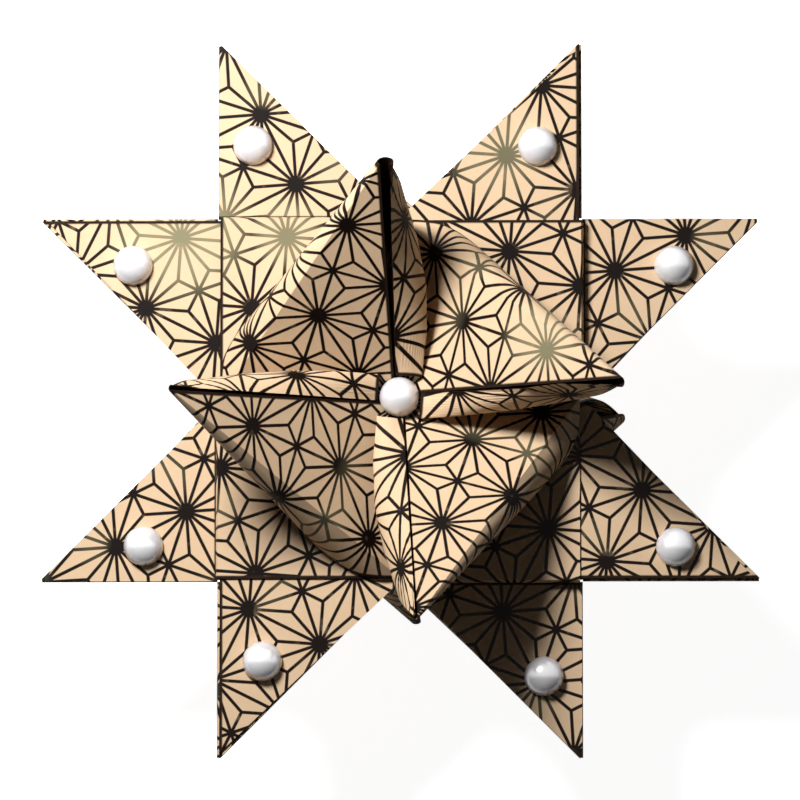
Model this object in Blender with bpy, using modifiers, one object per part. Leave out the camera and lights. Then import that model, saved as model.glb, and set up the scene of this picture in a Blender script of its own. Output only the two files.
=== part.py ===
"""Woven paper star: four folded strips with a cone over each seam, and nine half-pearls."""
import math

import bmesh
import bpy
from mathutils import Matrix, Vector

# all lengths in metres
LANE = 0.025            # pitch of the four woven lanes, one strip wide each
SEAM_GAP = 0.0006       # how far a strip's inner edge stays from the star's middle line
SIDE_GAP = 0.0002       # how far its outer edge stays inside the lane
PAPER = 0.00016         # paper thickness
PITCH = 0.0003          # height from one paper layer to the next
MIDDLE_LEVEL = 6.5      # layers are numbered from the back, this one is mid-height

CONE_REACH = 0.0300     # cone tip from the star's centre, along the seam
CONE_RISE = 0.0236      # cone tip above the woven square
CONE_LEAN = 0.0012      # cone tip off the seam, toward its flat side
TIP_RADIUS = 0.0007     # rounding of the rolled tip
SIDE_BULGE = 0.0042     # how far the rolled side swells past the seam
TRIM_BACK = 0.0006      # cut ends stop short of the point's edge

SEAM_MIDDLE = 0.00025   # half width of the step between the two middle layers
COVER_LOW = 0.00010     # the cover strip starts its step up here
COVER_HIGH = 0.00038    # and ends it here
RETURN_LOW = -0.00030   # the returning strip starts its step up here
RETURN_HIGH = -0.00002  # and ends it here
END_LOW = -0.00050      # the strip's end goes under the cover here
END_HIGH = -0.00022     # and comes down from the cone here

PEARL_RADIUS = 0.00275
PEARL_HEIGHT = 0.0025
PEARL_GAP = 0.00012     # glue line under each half-pearl
CENTRE_PEARL_RISE = 0.0024

# cones were folded by hand: each tip's shift toward its flat side, and outward
FRONT_TIP_SHIFTS = {
    "paper_strip_left": (0.0003, -0.0003),
    "paper_strip_top": (-0.0012, 0.0002),
    "paper_strip_right": (0.0014, 0.0015),
    "paper_strip_bottom": (-0.0005, 0.0004),
}
BACK_TIP_SHIFTS = {
    "paper_strip_left": (-0.0030, -0.0010),
    "paper_strip_top": (0.0002, 0.0000),
    "paper_strip_right": (-0.0010, 0.0003),
    "paper_strip_bottom": (-0.0008, 0.0010),
}

# where the point pearls were glued, to the right and up, in lanes from the centre
FRONT_POINT_PEARLS = {
    "bottom_left": (-0.756, -1.448),
    "left_upper": (-1.476, 0.744),
    "top_right": (0.764, 1.404),
    "right_lower": (1.520, -0.820),
}
BACK_POINT_PEARLS = {
    "top_left": (-0.816, 1.420),
    "right_upper": (1.516, 0.744),
    "bottom_right": (0.792, -1.528),
    "left_lower": (-1.416, -0.808),
}

# the rolled rim of a cone, as points across, along and above the woven square
RIM = (
    (-0.0247, 0.0030, 0.0003),
    (-0.0241, 0.0060, 0.0003),
    (-0.0218, 0.0098, 0.0003),
    (-0.0183, 0.0133, 0.0003),
    (-0.0144, 0.0160, 0.0003),
    (-0.0105, 0.0182, 0.0003),
    (-0.0070, 0.0197, 0.0004),
    (-0.0044, 0.0198, 0.0006),
    (-0.0032, 0.0175, 0.0009),
    (-0.0026, 0.0140, 0.0011),
    (-0.0021, 0.0100, 0.0012),
    (-0.0014, 0.0055, 0.0010),
)


def level(number):
    """Height of a numbered paper layer."""
    return (number - MIDDLE_LEVEL) * PITCH


def across(y, number):
    """A ruling square across the left-hand lane."""
    z = level(number)
    return Vector((-SEAM_GAP, y, z)), Vector((-LANE + SIDE_GAP, y, z))


def diagonal(number):
    """The slanting fold line of the lane's flat point."""
    z = level(number)
    inner = Vector((-SEAM_GAP, -LANE - SIDE_GAP, z))
    tip = Vector((-LANE + SIDE_GAP, -2 * LANE + SEAM_GAP, z))
    return inner, tip


def outer_fold(number):
    """The fold down the outer side of the flat point."""
    z = level(number)
    return Vector((-LANE, -LANE - SIDE_GAP, z)), Vector((-LANE, -2 * LANE + SEAM_GAP, z))


def woven_part():
    """Rulings from the strip's middle over the square to its flat point and back."""
    return [
        across(0, MIDDLE_LEVEL),
        across(SEAM_MIDDLE, 6),
        across(LANE, 6),
        across(LANE, 12),
        across(COVER_HIGH, 12),
        across(COVER_LOW, 8),
        diagonal(8),
        diagonal(7),
        outer_fold(7),
        outer_fold(9),
        diagonal(9),
        diagonal(10),
        across(RETURN_LOW, 10),
        across(RETURN_HIGH, 13),
    ]


def tip_place(shift):
    """The cone's tip; a shifted one keeps its distance from the star's centre."""
    lean, reach = CONE_LEAN + shift[0], CONE_REACH + shift[1]
    length = math.hypot(CONE_LEAN, CONE_REACH, CONE_RISE)
    rise = math.sqrt(length ** 2 - lean ** 2 - reach ** 2)
    return Vector((-lean, reach, level(13) + rise))


def tip_ring(turn, shift):
    """A point of the small ring that rounds the cone's tip; turn runs 0 to 1."""
    ridge = Vector((0, CONE_REACH, CONE_RISE)).normalized()
    upward = Vector((1, 0, 0)).cross(ridge)
    angle = math.radians(135 + 270 * turn)
    offset = Vector((1, 0, 0)) * math.cos(angle) + upward * math.sin(angle)
    return tip_place(shift) + offset * TIP_RADIUS


def cone_part(shift):
    """Rulings of the cone, then the strip's end tucked under the cover."""
    flat_corner = across(RETURN_HIGH, 13)[1]
    slot_inner = Vector((END_HIGH, SEAM_GAP, level(14.3)))
    slot_outer = Vector((END_HIGH, LANE - SIDE_GAP, level(14.3)))
    rulings = [(tip_ring(0, shift), flat_corner)]
    rim = [Vector((x, y, level(13) + z)) for x, y, z in RIM]
    for index, rim_point in enumerate(rim):
        rulings.append((tip_ring((index + 1) / (len(rim) + 1), shift), rim_point))
    rulings.append((tip_ring(1, shift), slot_inner))
    side_steps = 8
    for index in range(1, side_steps):
        share = index / side_steps
        edge_point = tip_ring(1, shift).lerp(slot_outer, share)
        edge_point.x += SIDE_BULGE * math.sin(math.pi * share)
        rulings.append((edge_point, slot_inner))
    rulings.append((slot_outer, slot_inner))
    z = level(11)
    rulings.append((Vector((END_LOW, LANE - SIDE_GAP, z)), Vector((END_LOW, SEAM_GAP, z))))
    far = Vector((-2 * LANE + SEAM_GAP + TRIM_BACK, LANE - SIDE_GAP, z))
    near = Vector((-LANE - SIDE_GAP - TRIM_BACK, SEAM_GAP, z))
    rulings.append((far, near))
    return rulings


def turned_over(ruling):
    """The same ruling on the star's back."""
    return tuple(Vector((p.x, -p.y, -p.z)) for p in ruling)


def strip_rulings(name):
    """All rulings of one strip, from its back end to its front end."""
    front = woven_part()[1:] + cone_part(FRONT_TIP_SHIFTS[name])
    back = [turned_over(ruling) for ruling in woven_part()[1:] + cone_part(BACK_TIP_SHIFTS[name])]
    return back[::-1] + [across(0, MIDDLE_LEVEL)] + front


def add_object(name, mesh, colour, roughness):
    """Link a named object with its own material."""
    material = bpy.data.materials.new(name + "_material")
    material.use_nodes = True
    shader = material.node_tree.nodes["Principled BSDF"]
    shader.inputs["Base Color"].default_value = colour
    shader.inputs["Roughness"].default_value = roughness
    mesh.materials.append(material)
    obj = bpy.data.objects.new(name, mesh)
    collection.objects.link(obj)
    return obj


def build_strip(name, quarter_turns):
    """One folded strip; the four differ only by quarter turns."""
    mesh = bpy.data.meshes.new(name)
    bm = bmesh.new()
    previous = None
    for ruling in strip_rulings(name):
        if previous is None:
            current = [bm.verts.new(p) for p in ruling]
        else:
            current = []
            for old, point in zip(previous, ruling):
                same = (old.co - point).length < PAPER / 100
                current.append(old if same else bm.verts.new(point))
            corners = [previous[0], previous[1], current[1], current[0]]
            bm.faces.new(list(dict.fromkeys(corners)))
        previous = current
    bmesh.ops.rotate(bm, verts=bm.verts, matrix=Matrix.Rotation(-quarter_turns * math.pi / 2, 3, "Z"))
    bmesh.ops.triangulate(bm, faces=bm.faces)
    bm.to_mesh(mesh)
    bm.free()
    strip = add_object(name, mesh, (0.78, 0.56, 0.36, 1), 0.7)
    paper = strip.modifiers.new("paper thickness", "SOLIDIFY")
    paper.thickness = PAPER
    paper.offset = 0
    paper.use_even_offset = True
    return strip


def build_pearl(name, centre):
    """A half-pearl: a low dome with a flat back."""
    mesh = bpy.data.meshes.new(name)
    bm = bmesh.new()
    bmesh.ops.create_uvsphere(bm, u_segments=32, v_segments=16, radius=PEARL_RADIUS)
    cut = bm.verts[:] + bm.edges[:] + bm.faces[:]
    bmesh.ops.bisect_plane(bm, geom=cut, plane_co=(0, 0, 0), plane_no=(0, 0, 1), clear_inner=True)
    bmesh.ops.holes_fill(bm, edges=[edge for edge in bm.edges if edge.is_boundary])
    bmesh.ops.scale(bm, verts=bm.verts, vec=(1, 1, PEARL_HEIGHT / PEARL_RADIUS))
    bmesh.ops.translate(bm, verts=bm.verts, vec=centre)
    bmesh.ops.recalc_face_normals(bm, faces=bm.faces)
    bm.to_mesh(mesh)
    bm.free()
    mesh.shade_smooth()
    return add_object(name, mesh, (0.92, 0.90, 0.88, 1), 0.2)


for old_object in list(bpy.data.objects):
    bpy.data.objects.remove(old_object)

collection = bpy.data.collections.new("woven_paper_star")
bpy.context.scene.collection.children.link(collection)

STRIPS = ("paper_strip_left", "paper_strip_top", "paper_strip_right", "paper_strip_bottom")
parts = [build_strip(name, turns) for turns, name in enumerate(STRIPS)]

parts.append(build_pearl("half_pearl_centre", Vector((0, 0, level(13) + CENTRE_PEARL_RISE))))

# four points carry their pearl on a tucked strip end, the other four on the folded strip
for surface, places in ((11, FRONT_POINT_PEARLS), (6, BACK_POINT_PEARLS)):
    for point_name, (right, up) in places.items():
        place = Vector((right * LANE, up * LANE, level(surface) + PAPER / 2 + PEARL_GAP))
        parts.append(build_pearl("half_pearl_" + point_name, place))

# the star rests on its four back tips
bpy.context.view_layer.update()
evaluated = [part.evaluated_get(bpy.context.evaluated_depsgraph_get()) for part in parts]
lowest = min(vertex.co.z for part in evaluated for vertex in part.data.vertices)
for part in parts:
    part.data.transform(Matrix.Translation((0, 0, -lowest)))
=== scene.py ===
import math

import bpy
from bpy.props import FloatProperty, FloatVectorProperty, PointerProperty
from bpy.types import Operator, Panel, PropertyGroup
from mathutils import Matrix, Vector


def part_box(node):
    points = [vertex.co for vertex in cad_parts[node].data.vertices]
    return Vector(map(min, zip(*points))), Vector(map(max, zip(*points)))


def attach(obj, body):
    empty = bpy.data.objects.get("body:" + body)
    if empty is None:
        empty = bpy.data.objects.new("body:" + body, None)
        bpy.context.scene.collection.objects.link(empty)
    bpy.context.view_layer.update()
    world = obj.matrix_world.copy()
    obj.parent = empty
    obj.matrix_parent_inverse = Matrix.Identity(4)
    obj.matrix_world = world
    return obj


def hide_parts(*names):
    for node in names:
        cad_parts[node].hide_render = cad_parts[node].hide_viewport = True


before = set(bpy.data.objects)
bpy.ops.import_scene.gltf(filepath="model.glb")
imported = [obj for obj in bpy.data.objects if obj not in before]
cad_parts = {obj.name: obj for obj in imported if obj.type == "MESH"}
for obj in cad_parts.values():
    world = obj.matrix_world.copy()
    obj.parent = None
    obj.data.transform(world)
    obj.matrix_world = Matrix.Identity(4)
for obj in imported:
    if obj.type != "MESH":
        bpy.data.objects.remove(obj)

bl_info = {
    "name": "Woven Paper Star",
    "version": (1, 0, 0),
    "blender": (4, 5, 0),
    "location": "View3D > Sidebar > Paper Star",
    "description": "Folds four printed paper strips into a star and glues half-pearls on it",
    "category": "Object",
}

# paper layers, counted from the back of the square, as a strip's front half passes them
MIDDLE_LEVEL = 6.5
FIRST_PASS = 6
COVER = 12
POINT_LAYERS = (8, 7, 9, 10)
CONE_FOOT = 13
SLOT_MOUTH = 14.3
TUCKED = 11
# where the strip steps from layer to layer, up the lane from the star's middle line
SEAM_MIDDLE = 0.00025
COVER_LOW, COVER_HIGH = 0.0001, 0.00038
RETURN_LOW, RETURN_HIGH = -0.0003, -0.00002
END_LOW, END_HIGH = -0.0005, -0.00022
# how far each kind of fold swells out, and its number of steps
COVER_FOLD = (0.0003, 6)
DIAGONAL_FOLD = (0.00004, 4)
OUTER_FOLD = (0.0001, 4)
CENTRE_PEARL_FOOT = 0.00435     # the centre half-pearl's flat back above the star's middle layer
STAR_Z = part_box("half_pearl_centre")[0][2] - CENTRE_PEARL_FOOT
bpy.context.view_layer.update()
STRIPS = ("paper_strip_left", "paper_strip_top", "paper_strip_right", "paper_strip_bottom")
PEARLS = (
    "half_pearl_centre",
    "half_pearl_bottom_left", "half_pearl_top_left",
    "half_pearl_left_upper", "half_pearl_right_upper",
    "half_pearl_top_right", "half_pearl_bottom_right",
    "half_pearl_right_lower", "half_pearl_left_lower",
)
# where the print starts on each strip, in metres along and across the paper: on the back
# half's first side, on the front half's first side, on the covers and on the tucked ends
PRINT_STARTS = (
    ((0.00450, 0.00000), (0.02225, 0.00000), (0.00950, 0.00450), (0.01800, 0.00240)),
    ((0.00800, 0.00030), (0.00050, 0.00030), (0.01200, 0.00450), (0.01925, 0.00030)),
    ((0.00425, 0.00075), (0.00425, 0.00075), (0.01475, 0.00450), (0.01975, 0.00240)),
    ((0.00550, 0.00060), (0.00150, 0.00060), (0.00200, 0.00575), (0.01925, 0.00405)),
)
# places of painted highlight, where the ink's sheen is painted as paler ink: x, y and radius in
# metres, and how far the ink is paled
INK_GLINT_PLACES = (
    (-0.0300, 0.0235, 0.0115, 0.85),
    (-0.0157, 0.0231, 0.0060, 0.75),
    (0.0199, 0.0072, 0.0065, 0.70),
    (0.0135, 0.0345, 0.0085, 0.55),
)
INK_GLINT_SOFT = 0.3     # share of the radius over which the painted highlight fades out
# cones were folded by hand: each tip's shift toward its flat side, and outward
FRONT_TIP_SHIFTS = ((0.0003, -0.0001), (-0.0012, 0.0002), (0.0014, 0.0015), (-0.0005, 0.0004))
BACK_TIP_SHIFTS = ((-0.0030, -0.0010), (0.0002, 0.0), (-0.0010, 0.0003), (-0.0008, 0.0010))
# the rolled rim of a cone: across, along and above the woven square
RIM = (
    (-0.0247, 0.0030, 0.0003),
    (-0.0241, 0.0060, 0.0003),
    (-0.0218, 0.0098, 0.0003),
    (-0.0183, 0.0133, 0.0003),
    (-0.0144, 0.0160, 0.0003),
    (-0.0105, 0.0182, 0.0003),
    (-0.0070, 0.0197, 0.0004),
    (-0.0044, 0.0198, 0.0006),
    (-0.0032, 0.0175, 0.0009),
    (-0.0026, 0.0140, 0.0011),
    (-0.0021, 0.0100, 0.0012),
    (-0.0014, 0.0055, 0.0010),
)
SEEN_RIM = 8        # rim points after this one roll up inside the cone
RIM_STEPS = 4       # rulings for each rim point
HIDDEN_STEPS = (len(RIM) + 1 - SEEN_RIM) * RIM_STEPS
SIDE_STEPS = 24     # rulings of the cone's rolled side
TUCK_STEPS = 3      # rulings after the cone: the slot, under the cover, and the cut end
TIP_RING = (math.radians(135), math.radians(270))      # where the tip's roll starts, and its sweep
# the roll's inner edge beside the centre half-pearl, before it goes down into the slot
LOOP = (
    (-0.0004, 0.0030, 0.0026),
    (0.0012, 0.0029, 0.0031),
    (0.0024, 0.0028, 0.0031),
    (0.0030, 0.0026, 0.0029),
    (0.0026, 0.0022, 0.0023),
    (0.0014, 0.0014, 0.0014),
)
ACROSS = 4          # parts of the paper's width
# marks on the cones' faces; the paper's other side gets the next number
FRONT_CONE, HIDDEN_ROLL, BACK_CONE = 1, 3, 5
MARKS = BACK_CONE + 2
# faces that get painted shade: the insides of the cones and the rolls hidden in them
SHADED_INSIDE_MARKS = (FRONT_CONE + 1, HIDDEN_ROLL, HIDDEN_ROLL + 1, BACK_CONE)
OVERLAPPED = 2      # the strip whose front cone shows no dark cut edge, the line that is partly painted shade of the gap
# how far each front cone's rolled side swells: at its outer edge, and halfway across
SIDE_SWELLS = ((0.0011, 0.0019), (0.0005, 0.0005), (0.0012, 0.0018), (0.0016, 0.0010))
BACK_SWELL = (0.0012, 0.0018)
TIP_RADII = (0.00105, 0.0006, 0.0003, 0.0004)     # how tightly each front cone's tip is rolled
CUT_EDGE, PAPER_MIDDLE = 0, 0.5     # places across the paper's width
SAME_PLACE = 0.000002       # points nearer than this are one
SAME_RUN = 0.00001          # runs along the paper that differ by less are the same
PAPER_SMOOTH, PEARL_SMOOTH = math.radians(25), math.radians(40)

# the print and the paper
RAY_TURN = math.radians(22.5)       # between neighbouring rays of a large dot
INK_BLUR = 0.00006
# patches in a metre of the paper's fibres, its mottling, thin ink, and painted highlight that
# pales the ink
FIBRES, MOTTLING, THIN_INK, INK_GLINT_PATCHES = 1500, 160, 420, 75
# how much fibres and mottling deepen the paper, and how much of both doesn't show
FIBRE_DEPTH, MOTTLING_DEPTH, UNSEEN_DEPTH = 0.45, 0.35, 0.2
THIN_FROM, THIN_RATE = 0.62, 1.2            # noise above which the ink thins, and how fast
# where patches of painted highlight start and end on the noise, and how far they pale the ink
GLINT_FROM, GLINT_TO, GLINT_MOST = 0.62, 0.74, 0.35
PAPER_ROUGHNESS, INK_SHEEN, PAPER_SHINE = 0.75, 0.25, 0.08
FIBRE_HEIGHT, INK_HEIGHT = 0.5, 0.6         # shares of the paper's relief
RELIEF, RELIEF_STRENGTH = 0.00004, 0.35

# the stage
FLOOR_SEEN, FLOOR_MIRRORED = 0.93, 0.35     # glow of the white table for the camera and in gloss
ROOM_LIGHT = 0.02                           # how much the room itself lights the star
ROOM_MIRRORED = (0.12, 1.08)                # the room in gloss: everywhere, and more where y is up
ROOM_FADE = (-0.22, 0.08)                   # where along y it brightens
LAMP_WIDTH, LAMP_POWER = 0.06, 0.65
LAMP_TOWARD, LAMP_AWAY = (-0.53, 0.65, 1.0), 0.205
CAMERA_AWAY = (0.017, -0.087, 0.926)        # from the star's middle
CAMERA_LENS, CAMERA_SENSOR = 303, 36


def length(name, default, description):
    """A size in metres that the panel shows."""
    return FloatProperty(
        name=name, description=description, default=default, unit="LENGTH", precision=5
    )


def colour(name, default, description):
    """A colour that the panel shows."""
    return FloatVectorProperty(
        name=name, description=description, default=default,
        size=3, min=0, max=1, subtype="COLOR",
    )


class StarSizes(PropertyGroup):
    """Sizes of the paper strips, the cones and the half-pearls."""

    lane: length("Lane", 0.025, "Pitch of the four woven lanes")
    seam_gap: length("Seam gap", 0.0006, "From a strip's inner edge to the star's middle line")
    side_gap: length("Side gap", 0.0002, "How far a strip's outer edge stays inside its lane")
    paper: length("Paper", 0.00016, "Paper thickness")
    pitch: length("Layer pitch", 0.0003, "Height from one paper layer to the next")
    cone_reach: length("Cone reach", 0.0300, "Cone tip from the centre, along the seam")
    cone_rise: length("Cone rise", 0.0236, "Cone tip above the woven square")
    cone_lean: length("Cone lean", 0.0012, "Cone tip off the seam, toward its flat side")
    tip_radius: length("Tip radius", 0.0006, "Rounding of a back cone's rolled tip")
    trim_back: length("Trim", 0.0006, "Cut ends stop short of the point's edge")
    pearl_radius: length("Pearl radius", 0.00275, "Radius of each half-pearl")
    pearl_height: length("Pearl height", 0.0025, "Height of each half-pearl")


class PrintLook(PropertyGroup):
    """Colours of paper, ink and half-pearls, and the print's measures."""

    kraft: colour("Kraft", (0.77, 0.56, 0.365), "Bare kraft paper")
    kraft_deep: colour("Kraft fibre", (0.63, 0.42, 0.24), "Darker fibres in the paper")
    ink: colour("Ink", (0.006, 0.003, 0.002), "Printed lines and dots")
    # painted highlight: the ink's sheen, painted as paler, greenish ink
    painted_ink_glint: colour("Faded ink", (0.29, 0.26, 0.15), "Where the print has thinned")
    # dark cut edges, partly painted shade of the gaps along the strips' edges; also the painted
    # shade inside the cones
    dark_edge_and_shade: colour("Cut edge", (0.018, 0.009, 0.005), "Dark cut edges of the strips")
    pearl: colour("Pearl", (0.96, 0.95, 0.96), "Half-pearls")
    # painted shade: the half-pearls' grey-lavender rim
    pearl_rim_shade: colour("Pearl rim", (0.78, 0.74, 0.80), "Half-pearls seen edge on")
    repeat: length("Repeat", 0.0109, "Distance between the large printed dots")
    line: length("Line", 0.00046, "Width of the printed lines")
    # the dark edge line is partly painted shade of the gap beside each edge
    edge_line: length("Edge line", 0.00042, "Width of the darkened cut edges")
    large_dot: length("Large dot", 0.0012, "Radius of the large printed dots")
    small_dot: length("Small dot", 0.0006, "Radius of the small printed dots")
    turn: FloatProperty(
        name="Turn", description="Angle of the print to the strip's edge",
        default=math.atan(0.5), subtype="ANGLE",
    )


def sizes():
    """The sizes that the panel holds."""
    return bpy.context.scene.star_sizes


def look():
    """The colours and print measures that the panel holds."""
    return bpy.context.scene.print_look


class Wire:
    """A shader socket that takes part in plain arithmetic."""

    def __init__(self, tree, socket):
        self.tree = tree
        self.socket = socket

    def math(self, operation, *values):
        """A Math node on the values or wires."""
        return make(self.tree, "ShaderNodeMath", {"operation": operation}, dict(enumerate(values)))

    def __add__(self, other):
        return self.math("ADD", self, other)

    __radd__ = __add__

    def __sub__(self, other):
        return self.math("SUBTRACT", self, other)

    def __rsub__(self, other):
        return self.math("SUBTRACT", other, self)

    def __mul__(self, other):
        return self.math("MULTIPLY", self, other)

    __rmul__ = __mul__

    def least(self, other):
        return self.math("MINIMUM", self, other)

    def most(self, other):
        return self.math("MAXIMUM", self, other)

    def size(self):
        return self.math("ABSOLUTE", self)

    def root(self):
        return self.math("SQRT", self)

    def below(self, limit, soft):
        """1 where the value is under the limit, with a soft edge."""
        return make(
            self.tree, "ShaderNodeMapRange", {"interpolation_type": "SMOOTHSTEP"},
            {
                "Value": self, "From Min": limit - soft, "From Max": limit + soft,
                "To Min": 1, "To Max": 0,
            },
        )


def make(tree, kind, settings=None, inputs=None, output=0):
    """Add a node: its settings first, then the values or wires of its sockets."""
    node = tree.nodes.new(kind)
    for name, value in (settings or {}).items():
        setattr(node, name, value)
    for name, value in (inputs or {}).items():
        if isinstance(value, Wire):
            tree.links.new(value.socket, node.inputs[name])
        else:
            node.inputs[name].default_value = value
    return Wire(tree, node.outputs[output])


def mix_colour(tree, factor, first, second):
    """First where the factor is 0, second where it is 1."""
    node = tree.nodes.new("ShaderNodeMix")
    node.data_type = "RGBA"
    sockets = (node.inputs[0], node.inputs[6], node.inputs[7])
    for socket, value in zip(sockets, (factor, first, second)):
        if isinstance(value, Wire):
            tree.links.new(value.socket, socket)
        elif socket.type == "RGBA":
            socket.default_value = (*value, 1)
        else:
            socket.default_value = value
    return Wire(tree, node.outputs[2])


def new_material(name):
    """A material with a bare Principled shader, and its tree."""
    material = bpy.data.materials.new(name)
    material.use_nodes = True
    return material, material.node_tree, material.node_tree.nodes["Principled BSDF"]


def print_mask(tree, uv):
    """1 on the printed lines and dots: rays between large and small dots on a square lattice."""
    style = look()
    split = tree.nodes.new("ShaderNodeSeparateXYZ")
    tree.links.new(uv.socket, split.inputs[0])
    along = Wire(tree, split.outputs[0])
    across = Wire(tree, split.outputs[1])
    cosine = math.cos(style.turn) / style.repeat
    sine = math.sin(style.turn) / style.repeat
    column = along * cosine + across * sine
    row = across * cosine - along * sine
    fold_column = 0.5 - (column.math("FRACT", column) - 0.5).size()
    fold_row = 0.5 - (row.math("FRACT", row) - 0.5).size()
    high = fold_column.most(fold_row)
    low = fold_column.least(fold_row)
    far_high = 0.5 - high
    far_low = 0.5 - low
    # distances to the four kinds of line; the first lies along the lattice
    diagonal = (high - low) * math.sqrt(0.5)
    slanted = (low * math.cos(RAY_TURN) - high * math.sin(RAY_TURN)).size()
    past_joint = (0.5 * math.tan(RAY_TURN) - low).most(0)
    upright = (far_high * far_high + past_joint * past_joint).root()
    nearest = low.least(diagonal).least(slanted).least(upright)
    soft = INK_BLUR / style.repeat
    lines = nearest.below(style.line / 2 / style.repeat, soft)
    from_large = (high * high + low * low).root()
    from_small = (far_high * far_high + far_low * far_low).root()
    large = from_large.below(style.large_dot / style.repeat, soft)
    small = from_small.below(style.small_dot / style.repeat, soft)
    return lines.most(large).most(small)


def dark_edge_and_shade_mask(tree):
    """1 along a strip's two cut edges: a dark edge that is partly painted shade of the gaps beside
    it.
    """
    strip = make(tree, "ShaderNodeUVMap", {"uv_map": "strip"})
    split = tree.nodes.new("ShaderNodeSeparateXYZ")
    tree.links.new(strip.socket, split.inputs[0])
    from_edge = PAPER_MIDDLE - (Wire(tree, split.outputs[1]) - PAPER_MIDDLE).size()
    share = look().edge_line / sizes().lane
    return from_edge.below(share, share / 3)


def ink_glint_mask(tree, place):
    """How far painted highlight pales the ink, 0 away from its places."""
    split = tree.nodes.new("ShaderNodeSeparateXYZ")
    tree.links.new(place.socket, split.inputs[0])
    glint_share = 0
    for x, y, radius, share in INK_GLINT_PLACES:
        right = Wire(tree, split.outputs[0]) - x
        up = Wire(tree, split.outputs[1]) - y
        away = (right * right + up * up).root()
        place_mask = away.below(radius * (1 - INK_GLINT_SOFT), radius * INK_GLINT_SOFT)
        glint_share = (place_mask * share).most(glint_share)
    return glint_share


def noise(tree, place, scale, detail, roughness=0.5):
    """Patches between 0 and 1, finer with a larger scale."""
    return make(
        tree, "ShaderNodeTexNoise", {},
        {"Vector": place, "Scale": scale, "Detail": detail, "Roughness": roughness},
    )


def paper_material():
    """Printed kraft paper: fibres, faint mottling, ink that is thin in places, and painted
    highlight that pales the ink in patches and places.
    """
    material, tree, shader = new_material("printed kraft paper")
    style = look()
    uv = make(tree, "ShaderNodeUVMap", {"uv_map": "print"})
    place = make(tree, "ShaderNodeTexCoord", output="Object")
    ink = print_mask(tree, uv)
    fibres = noise(tree, place, FIBRES, 4, 0.7)
    mottling = noise(tree, uv, MOTTLING, 2)
    depth = (fibres * FIBRE_DEPTH + mottling * MOTTLING_DEPTH - UNSEEN_DEPTH).most(0)
    bare = mix_colour(tree, depth, tuple(style.kraft), tuple(style.kraft_deep))
    covering = ink * (1 - (noise(tree, uv, THIN_INK, 3) - THIN_FROM).most(0) * THIN_RATE)
    # patches of painted highlight on the ink
    patchy_glint = make(
        tree, "ShaderNodeMapRange", {},
        {
            "Value": noise(tree, uv, INK_GLINT_PATCHES, 1),
            "From Min": GLINT_FROM, "From Max": GLINT_TO, "To Min": 0, "To Max": GLINT_MOST,
        },
    )
    # painted highlight pales the ink, in patches and in the listed places
    paled_by_glint = patchy_glint.most(ink_glint_mask(tree, place))
    inked = mix_colour(tree, paled_by_glint, tuple(style.ink), tuple(style.painted_ink_glint))
    printed = mix_colour(tree, covering, bare, inked)
    # dark cut edges, partly painted shade of the gaps beside them, and painted shade inside the
    # cones
    finished = mix_colour(tree, dark_edge_and_shade_mask(tree), printed, tuple(style.dark_edge_and_shade))
    tree.links.new(finished.socket, shader.inputs["Base Color"])
    tree.links.new((PAPER_ROUGHNESS - ink * INK_SHEEN).socket, shader.inputs["Roughness"])
    shader.inputs["Specular IOR Level"].default_value = PAPER_SHINE
    height = fibres * FIBRE_HEIGHT + ink * INK_HEIGHT
    bump = make(
        tree, "ShaderNodeBump", {},
        {"Height": height, "Strength": RELIEF_STRENGTH, "Distance": RELIEF},
    )
    tree.links.new(bump.socket, shader.inputs["Normal"])
    return material


def pearl_material():
    """White half-pearl with a soft lustre, and painted shade: greyer and lavender toward its rim
    as the camera sees it.
    """
    material, tree, shader = new_material("pearl")
    style = look()
    # painted shade: the colour greys toward the rim, by the angle to the view
    facing = make(tree, "ShaderNodeLayerWeight", {}, {"Blend": 0.45}, output=1)
    rim_shaded_tint = mix_colour(tree, facing, tuple(style.pearl), tuple(style.pearl_rim_shade))
    tree.links.new(rim_shaded_tint.socket, shader.inputs["Base Color"])
    shader.inputs["Metallic"].default_value = 0.25
    shader.inputs["Roughness"].default_value = 0.26
    shader.inputs["Coat Weight"].default_value = 0.45
    shader.inputs["Coat Roughness"].default_value = 0.08
    return material


def level(number):
    """Height of a numbered paper layer, counted from the back."""
    return (number - MIDDLE_LEVEL) * sizes().pitch


def across(y, number):
    """A ruling square across the left-hand lane."""
    size, z = sizes(), level(number)
    return Vector((-size.seam_gap, y, z)), Vector((-size.lane + size.side_gap, y, z))


def diagonal(number):
    """The slanting fold line of the lane's flat point."""
    size, z = sizes(), level(number)
    inner = Vector((-size.seam_gap, -size.lane - size.side_gap, z))
    return inner, Vector((-size.lane + size.side_gap, -2 * size.lane + size.seam_gap, z))


def outer_fold(number):
    """The fold down the outer side of the flat point."""
    size, z = sizes(), level(number)
    inner = Vector((-size.lane, -size.lane - size.side_gap, z))
    return inner, Vector((-size.lane, -2 * size.lane + size.seam_gap, z))


def creased(first, second, outward, fold):
    """Rulings of a fold: from one to the other, swelling outward in between."""
    swell, steps = fold
    rulings = [first]
    for index in range(1, steps):
        share = index / steps
        push = Vector(outward).normalized() * swell * math.sin(math.pi * share)
        rulings.append(tuple(a.lerp(b, share) + push for a, b in zip(first, second)))
    return rulings + [second]


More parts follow.
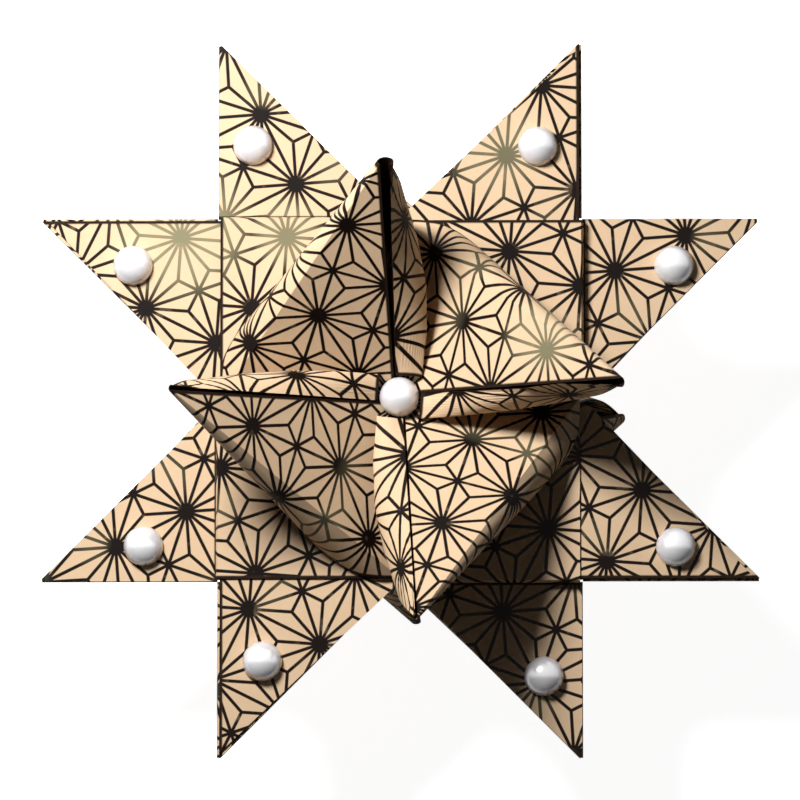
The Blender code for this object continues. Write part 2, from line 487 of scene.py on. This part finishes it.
def woven_part():
    """Rulings from the strip's middle over the square to its flat point and back."""
    lane = sizes().lane
    first, second, third, last = POINT_LAYERS
    return (
        [across(0, MIDDLE_LEVEL), across(SEAM_MIDDLE, FIRST_PASS)]
        + creased(across(lane, FIRST_PASS), across(lane, COVER), (0, 1, 0), COVER_FOLD)
        + [across(COVER_HIGH, COVER), across(COVER_LOW, first)]
        + creased(diagonal(first), diagonal(second), (1, -1, 0), DIAGONAL_FOLD)
        + creased(outer_fold(second), outer_fold(third), (-1, 0, 0), OUTER_FOLD)
        + creased(diagonal(third), diagonal(last), (1, -1, 0), DIAGONAL_FOLD)
        + [across(RETURN_LOW, last), across(RETURN_HIGH, CONE_FOOT)]
    )


def tip_place(shift):
    """The cone's tip; a shifted one keeps its distance from the star's centre."""
    size = sizes()
    lean, reach = size.cone_lean + shift[0], size.cone_reach + shift[1]
    spine = math.hypot(size.cone_lean, size.cone_reach, size.cone_rise)
    rise = math.sqrt(spine ** 2 - lean ** 2 - reach ** 2)
    return Vector((-lean, reach, level(CONE_FOOT) + rise))


def tip_ring(turn, shift, radius):
    """A point of the small ring that rounds the cone's tip; turn runs 0 to 1."""
    size = sizes()
    ridge = Vector((0, size.cone_reach, size.cone_rise)).normalized()
    upward = Vector((1, 0, 0)).cross(ridge)
    start, sweep = TIP_RING
    angle = start + sweep * turn
    offset = Vector((1, 0, 0)) * math.cos(angle) + upward * math.sin(angle)
    return tip_place(shift) + offset * radius


def smooth_curve(points, steps):
    """A rounded path through the points."""
    ends = [2 * points[0] - points[1], *points, 2 * points[-1] - points[-2]]
    path = []
    for index in range(1, len(ends) - 2):
        a, b, c, d = ends[index - 1:index + 3]
        for step in range(steps):
            t = step / steps
            path.append(
                b + (c - a) * (t / 2) + (2 * a - 5 * b + 4 * c - d) * (t * t / 2)
                + (3 * b - a - 3 * c + d) * (t ** 3 / 2)
            )
    return path + [points[-1]]


def cone_part(shift, swell, radius):
    """Rulings of the cone, then the strip's end tucked under the cover.

    A ruling of the rolled side has a third vector, its own bow between the two edges.
    """
    size = sizes()
    outer = size.lane - size.side_gap
    flat_corner = across(RETURN_HIGH, CONE_FOOT)[1]
    slot_inner = Vector((END_HIGH, size.seam_gap, level(SLOT_MOUTH)))
    slot_outer = Vector((END_HIGH, outer, level(SLOT_MOUTH)))
    rim = [Vector((x, y, level(CONE_FOOT) + z)) for x, y, z in RIM]
    loop = [Vector((x, y, level(CONE_FOOT) + z)) for x, y, z in LOOP]
    path = smooth_curve([flat_corner] + rim + loop[:1], RIM_STEPS)
    inner_edge = smooth_curve(loop + [slot_inner], SIDE_STEPS // len(LOOP))
    rulings = []
    for index, point in enumerate(path):
        rulings.append((tip_ring(index / (len(path) - 1), shift, radius), point))
    for index in range(1, SIDE_STEPS):
        share = index / SIDE_STEPS
        rise = math.sin(math.pi * share)
        edge_point = tip_ring(1, shift, radius).lerp(slot_outer, share)
        edge_point.x += swell[0] * rise
        rulings.append((edge_point, inner_edge[index], Vector((swell[1] * rise, 0, 0))))
    rulings.append((slot_outer, slot_inner))
    z = level(TUCKED)
    rulings.append((Vector((END_LOW, outer, z)), Vector((END_LOW, size.seam_gap, z))))
    far = Vector((-2 * size.lane + size.seam_gap + size.trim_back, outer, z))
    near = Vector((-size.lane - size.side_gap - size.trim_back, size.seam_gap, z))
    rulings.append((far, near))
    return rulings


def turned_over(ruling):
    """The same ruling on the star's back."""
    return tuple(Vector((p.x, -p.y, -p.z)) for p in ruling)


def strip_rulings(turns):
    """All rulings of one strip, from its back end to its front end."""
    front_cone = cone_part(FRONT_TIP_SHIFTS[turns], SIDE_SWELLS[turns], TIP_RADII[turns])
    back_cone = cone_part(BACK_TIP_SHIFTS[turns], BACK_SWELL, sizes().tip_radius)
    front = woven_part()[1:] + front_cone
    back = [turned_over(ruling) for ruling in woven_part()[1:] + back_cone]
    return back[::-1] + [across(0, MIDDLE_LEVEL)] + front


def paper_runs(half):
    """Distances along the paper's two edges, from the strip's middle outward."""
    runs = [[0], [0]]
    for before, after in zip(half, half[1:]):
        for side in (0, 1):
            runs[side].append(runs[side][-1] + (after[side] - before[side]).length)
    # the unseen rim takes up the difference, so both edges agree again at the slot
    slot = len(half) - TUCK_STEPS
    side = slot - SIDE_STEPS
    rim = runs[1]
    start, extra = rim[side - HIDDEN_STEPS], runs[0][slot] - rim[slot]
    spread = rim[side] - start
    runs[1] = [run + extra * min(max((run - start) / spread, 0), 1) for run in rim]
    return list(zip(*runs))


def deselect():
    """Leave edit mode, with nothing selected."""
    if bpy.context.object and bpy.context.object.mode != "OBJECT":
        bpy.ops.object.mode_set(mode="OBJECT")
    bpy.ops.object.select_all(action="DESELECT")


class STAR_OT_fold_strips(Operator):
    """Lay out each printed strip flat, and fold it into the star"""

    bl_idname = "star.fold_strips"
    bl_label = "Fold Paper Strips"

    def execute(self, context):
        material = paper_material()
        for turns, node in enumerate(STRIPS):
            rulings = strip_rulings(turns)
            strip = self.flat_strip(len(rulings), "printed_" + node)
            self.fold(strip, rulings)
            self.finish_paper(strip, rulings, turns)
            strip.data.materials.clear()
            strip.data.materials.append(material)
            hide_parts(node)
            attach(strip, "root")
        return {"FINISHED"}

    def flat_strip(self, count, name):
        """A flat paper strip with one row of points for each ruling."""
        deselect()
        bpy.ops.mesh.primitive_grid_add(x_subdivisions=ACROSS, y_subdivisions=count - 1, size=1)
        strip = bpy.context.object
        strip.name = name
        strip.data.name = name
        return strip

    def fold(self, strip, rulings):
        """Move each row to its folded place, and keep where it was on the flat paper."""
        mesh = strip.data
        if len(mesh.vertices) != (ACROSS + 1) * len(rulings):
            raise RuntimeError("the flat strip has the wrong number of rows")
        order = sorted(
            range(len(mesh.vertices)),
            key=lambda i: (mesh.vertices[i].co.y, -mesh.vertices[i].co.x),
        )
        flat = {}
        middle = len(rulings) // 2
        back = [(-inner, -outer) for inner, outer in paper_runs(rulings[middle::-1])]
        runs = back[:0:-1] + paper_runs(rulings[middle:])
        for row, (inner, outer, *bow) in enumerate(rulings):
            for column in range(ACROSS + 1):
                vertex = order[(ACROSS + 1) * row + column]
                side = column / ACROSS
                swell = sum(bow, Vector()) * math.sin(math.pi * side)
                mesh.vertices[vertex].co = inner.lerp(outer, side) + swell
                flat[vertex] = (runs[row][0] * (1 - side) + runs[row][1] * side, side)
        self.mark_cones(mesh, order, len(rulings))
        mesh.uv_layers[0].name = "strip"
        for loop in mesh.loops:
            mesh.uv_layers[0].data[loop.index].uv = flat[loop.vertex_index]
        mesh.update()

    def mark_cones(self, mesh, order, count):
        """Mark the faces of the cones and of the rolls hidden in them."""
        middle = count // 2
        mouth = len(woven_part()) - 1
        side = count - middle - TUCK_STEPS - SIDE_STEPS
        hidden = side - HIDDEN_STEPS
        for _ in range(MARKS):
            mesh.materials.append(None)
        rows = {vertex: index // (ACROSS + 1) for index, vertex in enumerate(order)}
        for face in mesh.polygons:
            row = min(rows[vertex] for vertex in face.vertices)
            step = row - middle if row >= middle else middle - 1 - row
            if mouth <= step < hidden:
                face.material_index = FRONT_CONE if row >= middle else BACK_CONE
            elif hidden <= step < side:
                face.material_index = HIDDEN_ROLL

    def finish_paper(self, strip, rulings, turns):
        """Close the fans, give the paper its thickness, and turn the strip into its lane."""
        bpy.ops.object.mode_set(mode="EDIT")
        bpy.ops.mesh.select_all(action="SELECT")
        bpy.ops.mesh.remove_doubles(threshold=SAME_PLACE)
        bpy.ops.mesh.quads_convert_to_tris()
        bpy.ops.object.mode_set(mode="OBJECT")
        faces = len(strip.data.polygons)
        paper = strip.modifiers.new("paper thickness", "SOLIDIFY")
        paper.thickness = sizes().paper
        paper.offset = 0
        paper.use_even_offset = True
        paper.material_offset = 1
        bpy.ops.object.modifier_apply(modifier=paper.name)
        middle = len(rulings) // 2
        halves = (rulings[middle::-1], rulings[middle:])
        slots = [paper_runs(half)[-TUCK_STEPS][0] for half in halves]
        self.lay_print(strip.data, faces, slots, PRINT_STARTS[turns])
        self.paint_shade_inside(strip.data, turns)
        place = Matrix.Translation((0, 0, STAR_Z)) @ Matrix.Rotation(-turns * math.pi / 2, 4, "Z")
        strip.data.transform(place)
        bpy.ops.object.shade_smooth_by_angle(angle=PAPER_SMOOTH)

    def lay_print(self, mesh, faces, slots, starts):
        """The print's coordinates along the paper.

        Slots are the runs from the strip's middle to its two slots, back and front. The
        tucked ends show the print the mirrored way.
        """
        back_start, front_start, cover_start, end_start = starts
        width = sizes().lane - sizes().seam_gap - sizes().side_gap
        mesh.uv_layers.new(name="print")
        flat, printed = (mesh.uv_layers[name].data for name in ("strip", "print"))
        for face in mesh.polygons:
            runs = [flat[loop].uv.x for loop in face.loop_indices]
            other_side = faces <= face.index < 2 * faces
            turn = 1
            if other_side:
                start, beside = cover_start
            elif min(runs) > slots[1] - SAME_RUN:
                start, beside = end_start
                start, turn = start - slots[1], -1
            elif max(runs) < SAME_RUN - slots[0]:
                start, beside = end_start
                start, turn = start + slots[0], -1
            else:
                start, beside = front_start if min(runs) >= 0 else back_start
            for loop in face.loop_indices:
                run, side = flat[loop].uv
                printed[loop].uv = (run + start, beside + turn * side * width)

    def paint_shade_inside(self, mesh, turns):
        """The cones' insides take the dark edge colour as painted shade, and one cone hides its
        own dark edge.
        """
        flat = mesh.uv_layers["strip"].data
        for face in mesh.polygons:
            # painted shade inside the cones
            inside = face.material_index in SHADED_INSIDE_MARKS
            overlapped = turns == OVERLAPPED and face.material_index == FRONT_CONE
            if inside or overlapped:
                side = CUT_EDGE if inside else PAPER_MIDDLE
                for loop in face.loop_indices:
                    flat[loop].uv = (flat[loop].uv.x, side)
            face.material_index = 0


class STAR_OT_glue_pearls(Operator):
    """Make the nine half-pearls where the solids have them"""

    bl_idname = "star.glue_pearls"
    bl_label = "Glue Half-Pearls"

    def execute(self, context):
        material = pearl_material()
        size = sizes()
        for node in PEARLS:
            low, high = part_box(node)
            place = Vector(((low[0] + high[0]) / 2, (low[1] + high[1]) / 2, low[2]))
            deselect()
            bpy.ops.mesh.primitive_uv_sphere_add(
                segments=48, ring_count=24, radius=size.pearl_radius
            )
            pearl = bpy.context.object
            pearl.name = "domed_" + node
            pearl.data.name = pearl.name
            bpy.ops.object.mode_set(mode="EDIT")
            bpy.ops.mesh.select_all(action="SELECT")
            bpy.ops.mesh.bisect(
                plane_co=(0, 0, 0), plane_no=(0, 0, 1), clear_inner=True, use_fill=True
            )
            bpy.ops.mesh.select_all(action="SELECT")
            bpy.ops.mesh.normals_make_consistent(inside=False)
            bpy.ops.object.mode_set(mode="OBJECT")
            squeeze = Matrix.Diagonal((1, 1, size.pearl_height / size.pearl_radius, 1))
            pearl.data.transform(Matrix.Translation(place) @ squeeze)
            bpy.ops.object.shade_smooth_by_angle(angle=PEARL_SMOOTH)
            pearl.data.materials.clear()
            pearl.data.materials.append(material)
            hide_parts(node)
            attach(pearl, "root")
        return {"FINISHED"}


class STAR_OT_set_stage(Operator):
    """Set the white table, the room, the lamp and the camera looking down"""

    bl_idname = "star.set_stage"
    bl_label = "Set Stage"

    def execute(self, context):
        scene = context.scene
        scene.view_settings.view_transform = "Standard"
        self.floor()
        self.world(scene)
        self.light(scene)
        self.camera(scene)
        return {"FINISHED"}

    def floor(self):
        """A white table, which keeps the star's shadow."""
        deselect()
        bpy.ops.mesh.primitive_plane_add(size=4)
        floor = bpy.context.object
        floor.name = "white_table"
        material, tree, shader = new_material("white table")
        shader.inputs["Base Color"].default_value = (0.80, 0.80, 0.80, 1)
        shader.inputs["Roughness"].default_value = 0.9
        path = tree.nodes.new("ShaderNodeLightPath")
        seen = Wire(tree, path.outputs["Is Camera Ray"])
        mirrored = Wire(tree, path.outputs["Is Glossy Ray"])
        strength = seen * FLOOR_SEEN + mirrored * FLOOR_MIRRORED
        glow = tree.nodes.new("ShaderNodeEmission")
        glow.inputs["Color"].default_value = (1, 1, 1, 1)
        tree.links.new(strength.socket, glow.inputs["Strength"])
        both = tree.nodes.new("ShaderNodeAddShader")
        tree.links.new(shader.outputs[0], both.inputs[0])
        tree.links.new(glow.outputs[0], both.inputs[1])
        tree.links.new(both.outputs[0], tree.nodes["Material Output"].inputs["Surface"])
        floor.data.materials.append(material)

    def world(self, scene):
        """A room that is white to the camera, faint as a light, and two-toned in gloss."""
        world = bpy.data.worlds.new("soft room")
        scene.world = world
        world.use_nodes = True
        tree = world.node_tree
        path = tree.nodes.new("ShaderNodeLightPath")
        seen = Wire(tree, path.outputs["Is Camera Ray"])
        mirrored = Wire(tree, path.outputs["Is Glossy Ray"])
        toward = make(tree, "ShaderNodeTexCoord")
        split = tree.nodes.new("ShaderNodeSeparateXYZ")
        tree.links.new(toward.socket, split.inputs[0])
        upper = make(
            tree, "ShaderNodeMapRange", {"interpolation_type": "SMOOTHSTEP"},
            {
                "Value": Wire(tree, split.outputs[1]),
                "From Min": ROOM_FADE[0], "From Max": ROOM_FADE[1],
            },
        )
        background = tree.nodes["Background"]
        background.inputs["Color"].default_value = (1, 1, 1, 1)
        low, more = ROOM_MIRRORED
        strength = ROOM_LIGHT + seen * (1 - ROOM_LIGHT) + mirrored * (low + upper * more)
        tree.links.new(strength.socket, background.inputs["Strength"])

    def light(self, scene):
        """One lamp, close to the star at its upper left."""
        lamp = bpy.data.lights.new("desk lamp", "AREA")
        lamp.shape = "DISK"
        lamp.size = LAMP_WIDTH
        lamp.energy = LAMP_POWER
        seat = bpy.data.objects.new("desk lamp", lamp)
        scene.collection.objects.link(seat)
        toward = Vector(LAMP_TOWARD).normalized()
        seat.location = Vector((0, 0, STAR_Z)) + toward * LAMP_AWAY
        seat.rotation_euler = toward.to_track_quat("Z", "Y").to_euler()

    def camera(self, scene):
        """A camera that looks down on the star, slightly from below its middle."""
        camera = bpy.data.cameras.new("camera")
        camera.lens = CAMERA_LENS
        camera.sensor_width = CAMERA_SENSOR
        camera.clip_end = 10
        seat = bpy.data.objects.new("camera", camera)
        scene.collection.objects.link(seat)
        target = Vector((0, 0, STAR_Z))
        seat.location = target + Vector(CAMERA_AWAY)
        back = (seat.location - target).normalized()
        side = Vector((0, 1, 0)).cross(back).normalized()
        seat.rotation_euler = Matrix((side, back.cross(side), back)).transposed().to_euler()
        scene.camera = seat


class STAR_PT_panel(Panel):
    """The star's sizes, its colours, and the steps that make it"""

    bl_label = "Paper Star"
    bl_idname = "STAR_PT_panel"
    bl_space_type = "VIEW_3D"
    bl_region_type = "UI"
    bl_category = "Paper Star"

    def draw(self, context):
        layout = self.layout
        for group in (context.scene.star_sizes, context.scene.print_look):
            box = layout.box()
            for name in group.__annotations__:
                box.prop(group, name)
        for operator in OPERATORS:
            layout.operator(operator.bl_idname)


OPERATORS = (STAR_OT_fold_strips, STAR_OT_glue_pearls, STAR_OT_set_stage)
CLASSES = (StarSizes, PrintLook, *OPERATORS, STAR_PT_panel)


def register():
    for entry in CLASSES:
        bpy.utils.register_class(entry)
    bpy.types.Scene.star_sizes = PointerProperty(type=StarSizes)
    bpy.types.Scene.print_look = PointerProperty(type=PrintLook)


def unregister():
    del bpy.types.Scene.print_look
    del bpy.types.Scene.star_sizes
    for entry in reversed(CLASSES):
        bpy.utils.unregister_class(entry)


def main():
    register()
    bpy.ops.star.fold_strips()
    bpy.ops.star.glue_pearls()
    bpy.ops.star.set_stage()


if __name__ == "__main__":
    main()
